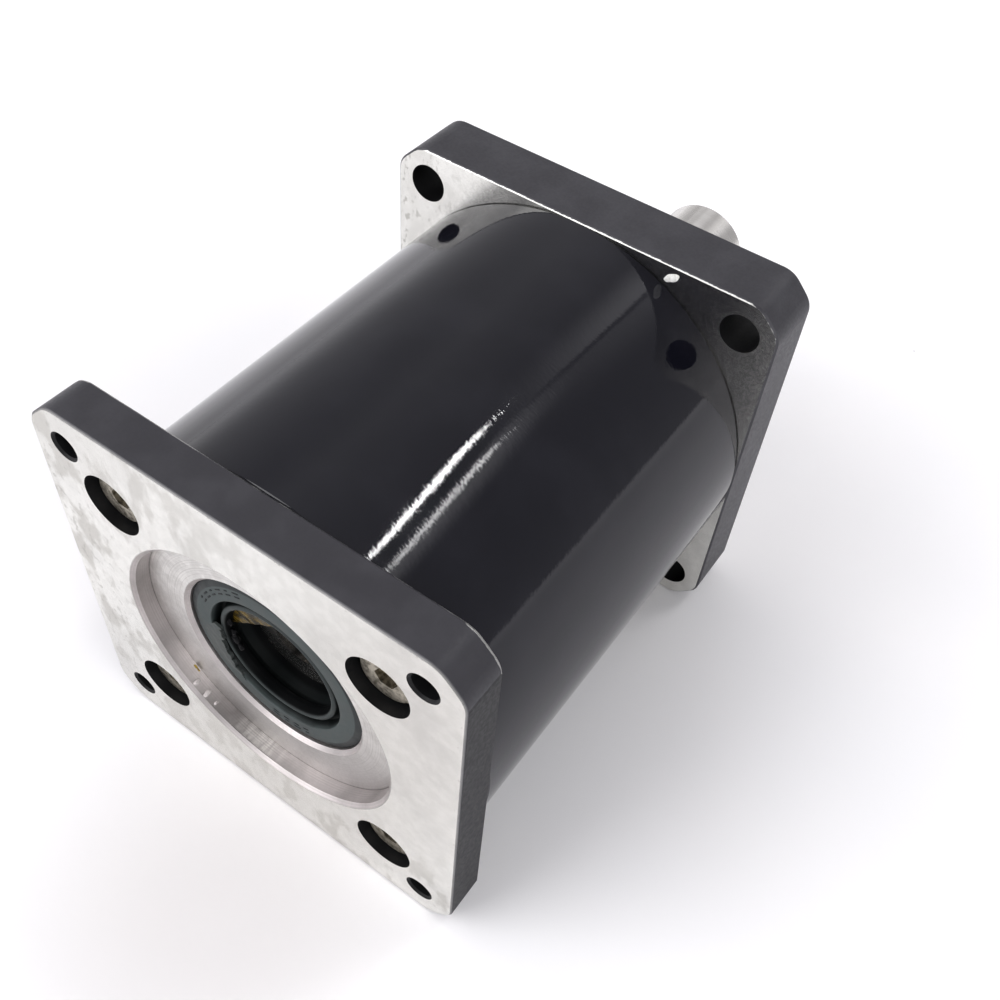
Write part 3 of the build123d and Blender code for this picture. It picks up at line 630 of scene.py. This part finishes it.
def lathe(section, segments=128):
    """Turn a closed (station, radius) section about the shaft axis."""
    shape = bmesh.new()
    rings = []
    for segment in range(segments):
        angle = math.tau * segment / segments
        across = Vector((0, math.cos(angle), math.sin(angle)))
        rings.append([shape.verts.new(Vector((point.x, 0, 0)) + across * point.y) for point in section])
    for segment, ring in enumerate(rings):
        following = rings[(segment + 1) % segments]
        for index in range(len(section)):
            turn = (index + 1) % len(section)
            shape.faces.new((ring[index], following[index], following[turn], ring[turn]))
    return shape


def seal_section(face, inward, housing_radius):
    """Section of a shaft seal whose face stands at a station and looks away from inward."""
    wall = housing_radius - seal_wall
    outer = [(0.0, housing_radius - seal_bevel), (seal_bevel_depth, housing_radius),
             (seal_width, housing_radius), (seal_width, wall), (seal_face_depth, wall)]
    inner = [(depth * MM, radius * MM) for depth, radius in seal_inner_section]
    return [Vector((face + inward * depth, radius)) for depth, radius in outer + inner]


def add_seals(finishes):
    """Both shaft seals with soft moulded corners."""
    rubber = finishes["seal_rubber"]
    for name, face, inward, housing_radius in (
            ("input_seal", input_seal_low.x, 1, input_seal_high.z),
            ("output_seal", output_seal_high.x, -1, output_seal_high.z)):
        section = round_corners(seal_section(face, inward, housing_radius), seal_corner_radius)
        piece = add_piece(name + "_moulded", lathe(section), rubber, "housing")
        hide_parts(name)


def around(station, radius, degrees):
    """Point at a station, radius and angle from +Y towards +Z."""
    angle = math.radians(degrees)
    return Vector((station, radius * math.cos(angle), radius * math.sin(angle)))


def add_lump(shape, centre, size, seed, rough=0.22, tilt=0.0):
    """Soft irregular lump; size is its half extent along X, Y and Z before a tilt about X in degrees."""
    turn = Matrix.Rotation(math.radians(tilt), 3, "X")
    made = bmesh.ops.create_icosphere(shape, subdivisions=3, radius=1.0)
    for vert in made["verts"]:
        swell = 1 + rough * noise.noise(vert.co * 1.3 + Vector((seed, 0, 0)))
        stretched = Vector(tuple(part * extent for part, extent in zip(vert.co, size)))
        vert.co = centre + turn @ stretched * swell


def add_paint_dot():
    """White inspection dot on the inner face of the output flange."""
    shape = bmesh.new()
    centre = Vector((body_high.x, -13.5 * MM, 26.75 * MM))
    add_lump(shape, centre, (0.12 * MM, 1.15 * MM, 0.52 * MM), seed=4.0, rough=0.35, tilt=139.5)
    add_piece("paint_dot", shape, marker_paint(), "housing")


def add_lumps(name, finish, station, proportions, lumps):
    """One piece of several lumps; each is (angle in degrees, radius, size in millimetres, seed)."""
    shape = bmesh.new()
    for degrees, radius, size, seed in lumps:
        extents = tuple(part * size * MM for part in proportions)
        add_lump(shape, around(station, radius, degrees), extents, seed)
    add_piece(name, shape, finish, "housing")


def add_wet_grease():
    """Dark wet lumps on the input lip."""
    wet = grease("wet_grease", (0.004, 0.004, 0.005), (0.008, 0.008, 0.009), clarity=0.0, wetness=0.12,
                 lumpy=0.003 * MM, sheen=0.08)
    add_lumps("wet_grease_lumps", wet, input_seal_low.x + 1.1 * MM, (0.6, 1, 1.25), (
        (6, 8.0 * MM, 0.62, 1.0),
        (-8, 7.6 * MM, 0.50, 2.0),
        (-17, 7.7 * MM, 0.75, 3.0),
        (-27, 7.5 * MM, 0.58, 5.0),
    ))


def add_clear_grease():
    """Clear drops on the recess wall."""
    clear = grease("clear_grease", (0.74, 0.69, 0.68), (0.88, 0.84, 0.83), clarity=0.30, wetness=0.08)
    add_lumps("clear_grease_drops", clear, input_face + 1.1 * MM, (1, 0.55, 0.55), (
        (-47, recess_radius, 0.55, 7.0),
        (-53, recess_radius, 0.62, 8.0),
        (-58, recess_radius, 0.35, 9.0),
    ))


def add_yellow_grease():
    """Yellow streak low on the recess wall."""
    yellow = grease("yellow_grease", (0.30, 0.20, 0.02), (0.52, 0.38, 0.06), clarity=0.2, wetness=0.15)
    add_lumps("yellow_grease_streak", yellow, input_face + recess_depth - 0.3 * MM, (0.35, 1, 1), (
        (-42.3, recess_radius, 0.36, 11.0),
        (-44.0, recess_radius, 0.28, 12.0),
    ))


def add_sheet(shape, columns):
    """Closed sheet from columns of (outer, inner) rows: outer skin and inner skin point for point."""
    skins = [[[shape.verts.new(point) for point in row] for row in column] for column in columns]
    across = len(skins[0][0])
    for first, second in zip(skins, skins[1:]):
        for index in range(across - 1):
            shape.faces.new((first[0][index], first[0][index + 1], second[0][index + 1], second[0][index]))
            shape.faces.new((first[1][index], second[1][index], second[1][index + 1], first[1][index + 1]))
        for index in (0, across - 1):
            shape.faces.new((first[0][index], second[0][index], second[1][index], first[1][index]))
    for column in (skins[0], skins[-1]):
        for index in range(across - 1):
            shape.faces.new((column[0][index], column[1][index], column[1][index + 1], column[0][index + 1]))


def film_row(rim, free, skin):
    """One skin of the film from its rim to its free edge; skin is -1 outside and 1 inside."""
    row = []
    for part in range(9):
        point = rim.lerp(free, part / 8)
        sag = 0.10 * MM * noise.noise(point * 700)
        thick = (0.05 + 0.03 * noise.noise(point * 900)) * MM
        row.append(point + Vector((sag + skin * thick, 0, 0)))
    return row


def add_grease_film():
    """Brown film drawn across the upper left of the input lip, below a straight free edge."""
    film = grease("grease_film", (0.020, 0.015, 0.006), (0.15, 0.10, 0.015), clarity=0.10, wetness=0.15,
                  lumpy=0.02 * MM, sheen=0.15)
    station = input_seal_low.x + film_depth
    start = around(station, film_radius, film_first)
    end = around(station, film_radius, film_last)
    columns = []
    for step in range(film_steps + 1):
        share = step / film_steps
        rim = around(station, film_radius, film_first + (film_last - film_first) * share)
        free = start.lerp(end, share)
        free = free + (rim - free) * (0.03 + 0.05 * noise.noise(Vector((9 * share, 3.0, 0.0))))
        columns.append([film_row(rim, free, -1), film_row(rim, free, 1)])
    shape = bmesh.new()
    add_sheet(shape, columns)
    add_piece("grease_film", shape, film, "housing")


def smear_height_at(along, share):
    """Height of the smear across its width and along its length: steep inside, thin outside."""
    height = smear_height * (1 - along)
    if along < 0.65:
        crown = math.sin(math.pi * min(1, along * 1.35 + 0.12)) ** 0.6
        height = max(smear_height * crown, height)
    return height * math.sin(math.pi * (0.03 + 0.94 * share)) ** 0.4


def smear_rows(share):
    """Outer and inner row across the smear at a share of its length; its inner edge is torn."""
    face = input_seal_low.x
    degrees = smear_first + (smear_last - smear_first) * share
    torn = 0.55 * noise.fractal(Vector((11 * share, 0.0, 2.0)), 1.0, 2.0, 3)
    inner = 8.35 + 1.6 * share ** 2 + torn
    outer = 11.9 - 1.3 * share ** 2 + 0.4 * noise.noise(Vector((5 * share, 4.0, 0.0)))
    taper = math.sin(math.pi * (0.02 + 0.96 * share)) ** 0.5
    outer = inner + max(0.15, (outer - inner) * taper)
    rows = [[], []]
    for part in range(13):
        along = part / 12
        spot = around(0, (inner + (outer - inner) * along) * MM, degrees)
        height = smear_height_at(along, share) + 0.03 * MM * noise.noise(spot * 1400)
        rows[0].append(Vector((face - height, spot.y, spot.z)))
        rows[1].append(Vector((face + smear_root, spot.y, spot.z)))
    return rows


def add_grease_smear():
    """Pale torn smear that fills the moat over the lower left of the input seal."""
    smear = grease("dusty_grease", (0.048, 0.055, 0.054), (0.078, 0.086, 0.084), clarity=0.0, wetness=0.40,
                   lumpy=0.02 * MM, sheen=0.25)
    shape = bmesh.new()
    add_sheet(shape, [smear_rows(step / smear_steps) for step in range(smear_steps + 1)])
    add_piece("grease_smear", shape, smear, "housing")


def mark_columns(degrees, half_turn, radius):
    """Columns of one raised dash, flush with the face along its rim."""
    face = input_seal_low.x
    columns = []
    for step in range(7):
        turn = degrees + half_turn * (step / 6 - 0.5) * 2
        rows = [[], []]
        for part in range(4):
            lift = mark_height if part in (1, 2) and 0 < step < 6 else 0.0
            spot = around(0, radius + mark_half_width * (part / 3 - 0.5) * 2, turn)
            rows[0].append(Vector((face - lift, spot.y, spot.z)))
            rows[1].append(Vector((face + mark_root, spot.y, spot.z)))
        columns.append(rows)
    return columns


def add_mould_marks():
    """Plain raised dashes in two rows, moulded on the face of the input seal."""
    shape = bmesh.new()
    for centre, count in ((46.0, 6), (-98.0, 4)):
        for index in range(count):
            degrees = centre + (index - (count - 1) / 2) * mark_pitch
            add_sheet(shape, mark_columns(degrees, 2.6, 10.9 * MM))
            add_sheet(shape, mark_columns(degrees, 1.6 + 1.4 * (index % 2), 11.5 * MM))
    add_piece("input_seal_mould_marks", shape, mark_rubber(), "housing")


# ---------------------------------------------------------------- stage

def lay_floor():
    """Wide pale floor under the flanges."""
    mesh = bpy.data.meshes.new("floor")
    grid = bmesh.new()
    bmesh.ops.create_grid(grid, x_segments=8, y_segments=8, size=floor_reach)
    grid.to_mesh(mesh)
    grid.free()
    floor = bpy.data.objects.new("floor", mesh)
    floor.location.z = floor_height
    bpy.context.scene.collection.objects.link(floor)
    mesh.materials.append(floor_paper())


def hang_panel(name, start, end, reach, width, radiance, offset=0.0):
    """Rectangular light whose long side runs between two directions seen from the body."""
    centre = Vector((body_middle, 0, 0))
    first = centre + start.normalized() * reach
    last = centre + end.normalized() * reach
    middle = (first + last) / 2
    backward = (middle - centre).normalized()
    long_way = (last - first).normalized()
    across = backward.cross(long_way)
    light = bpy.data.lights.new(name, "AREA")
    light.shape = "RECTANGLE"
    light.size = (last - first).length
    light.size_y = width
    light.energy = radiance * math.pi * light.size * width
    lamp = bpy.data.objects.new(name, light)
    turn = Matrix((long_way, across, backward)).transposed().to_4x4()
    lamp.matrix_world = Matrix.Translation(middle + across * offset) @ turn
    bpy.context.scene.collection.objects.link(lamp)


def hang_window(name, direction, radiance):
    """Large square light in a direction seen from the body."""
    half = Vector((0, 0, 1)).cross(direction).normalized() * window_size / 2 / window_reach
    middle = direction.normalized()
    hang_panel(name, middle - half, middle + half, window_reach, window_size, radiance)


def room_bands(r):
    """Two soft bands of light beyond the lamp, with a dark line between them."""
    off_band = r.dot(band_normal)
    above = r.maths("MULTIPLY", r.remap(off_band, 1.6 * band_width, -0.6 * band_width, 0.0, band_gain),
                    r.remap(off_band, -0.80 * band_width, -0.65 * band_width))
    below = r.maths("MULTIPLY", r.remap(off_band, -3.5 * band_width, -band_width, 0.0, 0.4 * band_gain),
                    r.remap(off_band, -0.95 * band_width, -1.10 * band_width))
    beyond_lamp = r.remap(r.dot(Vector((1, 0, 0))), 0.58, 0.72)
    return r.maths("MULTIPLY", r.maths("ADD", above, below), beyond_lamp)


def horizon_lift(r):
    """Lighter walls near the horizon on the +Y side."""
    near_floor = r.remap(r.dot(Vector((0, 0, 1))), horizon_height, 0.0, 0.0, horizon_gain)
    sideways = r.remap(r.dot(Vector((0, 1, 0))), 0.2, 0.6)
    return r.maths("MULTIPLY", near_floor, sideways)


def lamp_halo(r):
    """Halo beside the lamp's glow: it fades slowly on one side and stops sharply on the other."""
    side = r.dot(glow_normal)
    halo = r.maths("MULTIPLY", r.remap(side, -0.16, -0.01, 0.0, halo_gain), r.remap(side, 0.02, 0.0))
    return r.maths("MULTIPLY", halo, r.remap(r.dot(glow_middle.normalized()), 0.980, 0.999))


def light_room():
    """Pale room with a darker cabinet and viewer."""
    world = bpy.data.worlds.new("pale_room")
    bpy.context.scene.world = world
    world.use_nodes = True
    r = Recipe(world.node_tree, "Generated")
    level = r.maths("ADD", r.maths("MULTIPLY", r.dot(sky_slope), sky_gain), sky_level)
    level = r.maths("ADD", level, room_bands(r))
    level = r.maths("ADD", level, horizon_lift(r))
    cabinet = r.remap(r.dot(cabinet_direction), 0.84, 0.98, 1.0, 1 - cabinet_dimming)
    level = r.maths("MULTIPLY", level, cabinet)
    viewer = r.remap(r.dot(viewer_direction.normalized()), 0.66, 0.90, 1.0, 1 - viewer_dimming)
    level = r.maths("MULTIPLY", level, viewer)
    level = r.maths("ADD", level, lamp_halo(r))
    background = world.node_tree.nodes["Background"]
    r.feed(background.inputs["Strength"], level)
    r.feed(background.inputs["Color"], (0.985, 0.975, 1.0))


def light_scene():
    """Twin-tube ceiling lamp and its reflector glow, a window, an open door and a pale room."""
    shift = (lamp_tube_width + lamp_tube_gap) / 2
    for side in (-1, 1):
        hang_panel("lamp_tube", lamp_start, lamp_end, lamp_reach, lamp_tube_width, lamp_radiance,
                   side * shift)
    hang_panel("lamp_glow", glow_start, glow_end, lamp_reach, glow_width, glow_radiance)
    hang_window("window", window_direction, window_radiance)
    hang_window("open_door", door_direction, door_radiance)
    light_room()


def place_camera():
    """Camera at the shot's viewing angle, looking down on the motor side."""
    heading = math.radians(camera_heading)
    tilt = math.radians(camera_tilt)
    look = Vector((math.cos(tilt) * math.cos(heading), math.cos(tilt) * math.sin(heading), math.sin(tilt)))
    data = bpy.data.cameras.new("camera")
    data.lens = camera_lens
    data.clip_start = camera_clip_start
    camera = bpy.data.objects.new("camera", data)
    turn = look.to_track_quat("-Z", "Y").to_matrix().to_4x4()
    roll = Matrix.Rotation(math.radians(camera_roll), 4, "Z")
    camera.matrix_world = Matrix.Translation(camera_place) @ turn @ roll
    bpy.context.scene.collection.objects.link(camera)
    bpy.context.scene.camera = camera
    picture = bpy.context.scene.view_settings
    picture.view_transform = "Standard"
    picture.exposure = picture_exposure
    picture.gamma = picture_gamma


finishes = build_finishes()
dress_nodes(finishes)
add_seals(finishes)
add_mould_marks()
add_grease_film()
add_grease_smear()
add_wet_grease()
add_clear_grease()
add_yellow_grease()
add_paint_dot()
lay_floor()
light_scene()
place_camera()
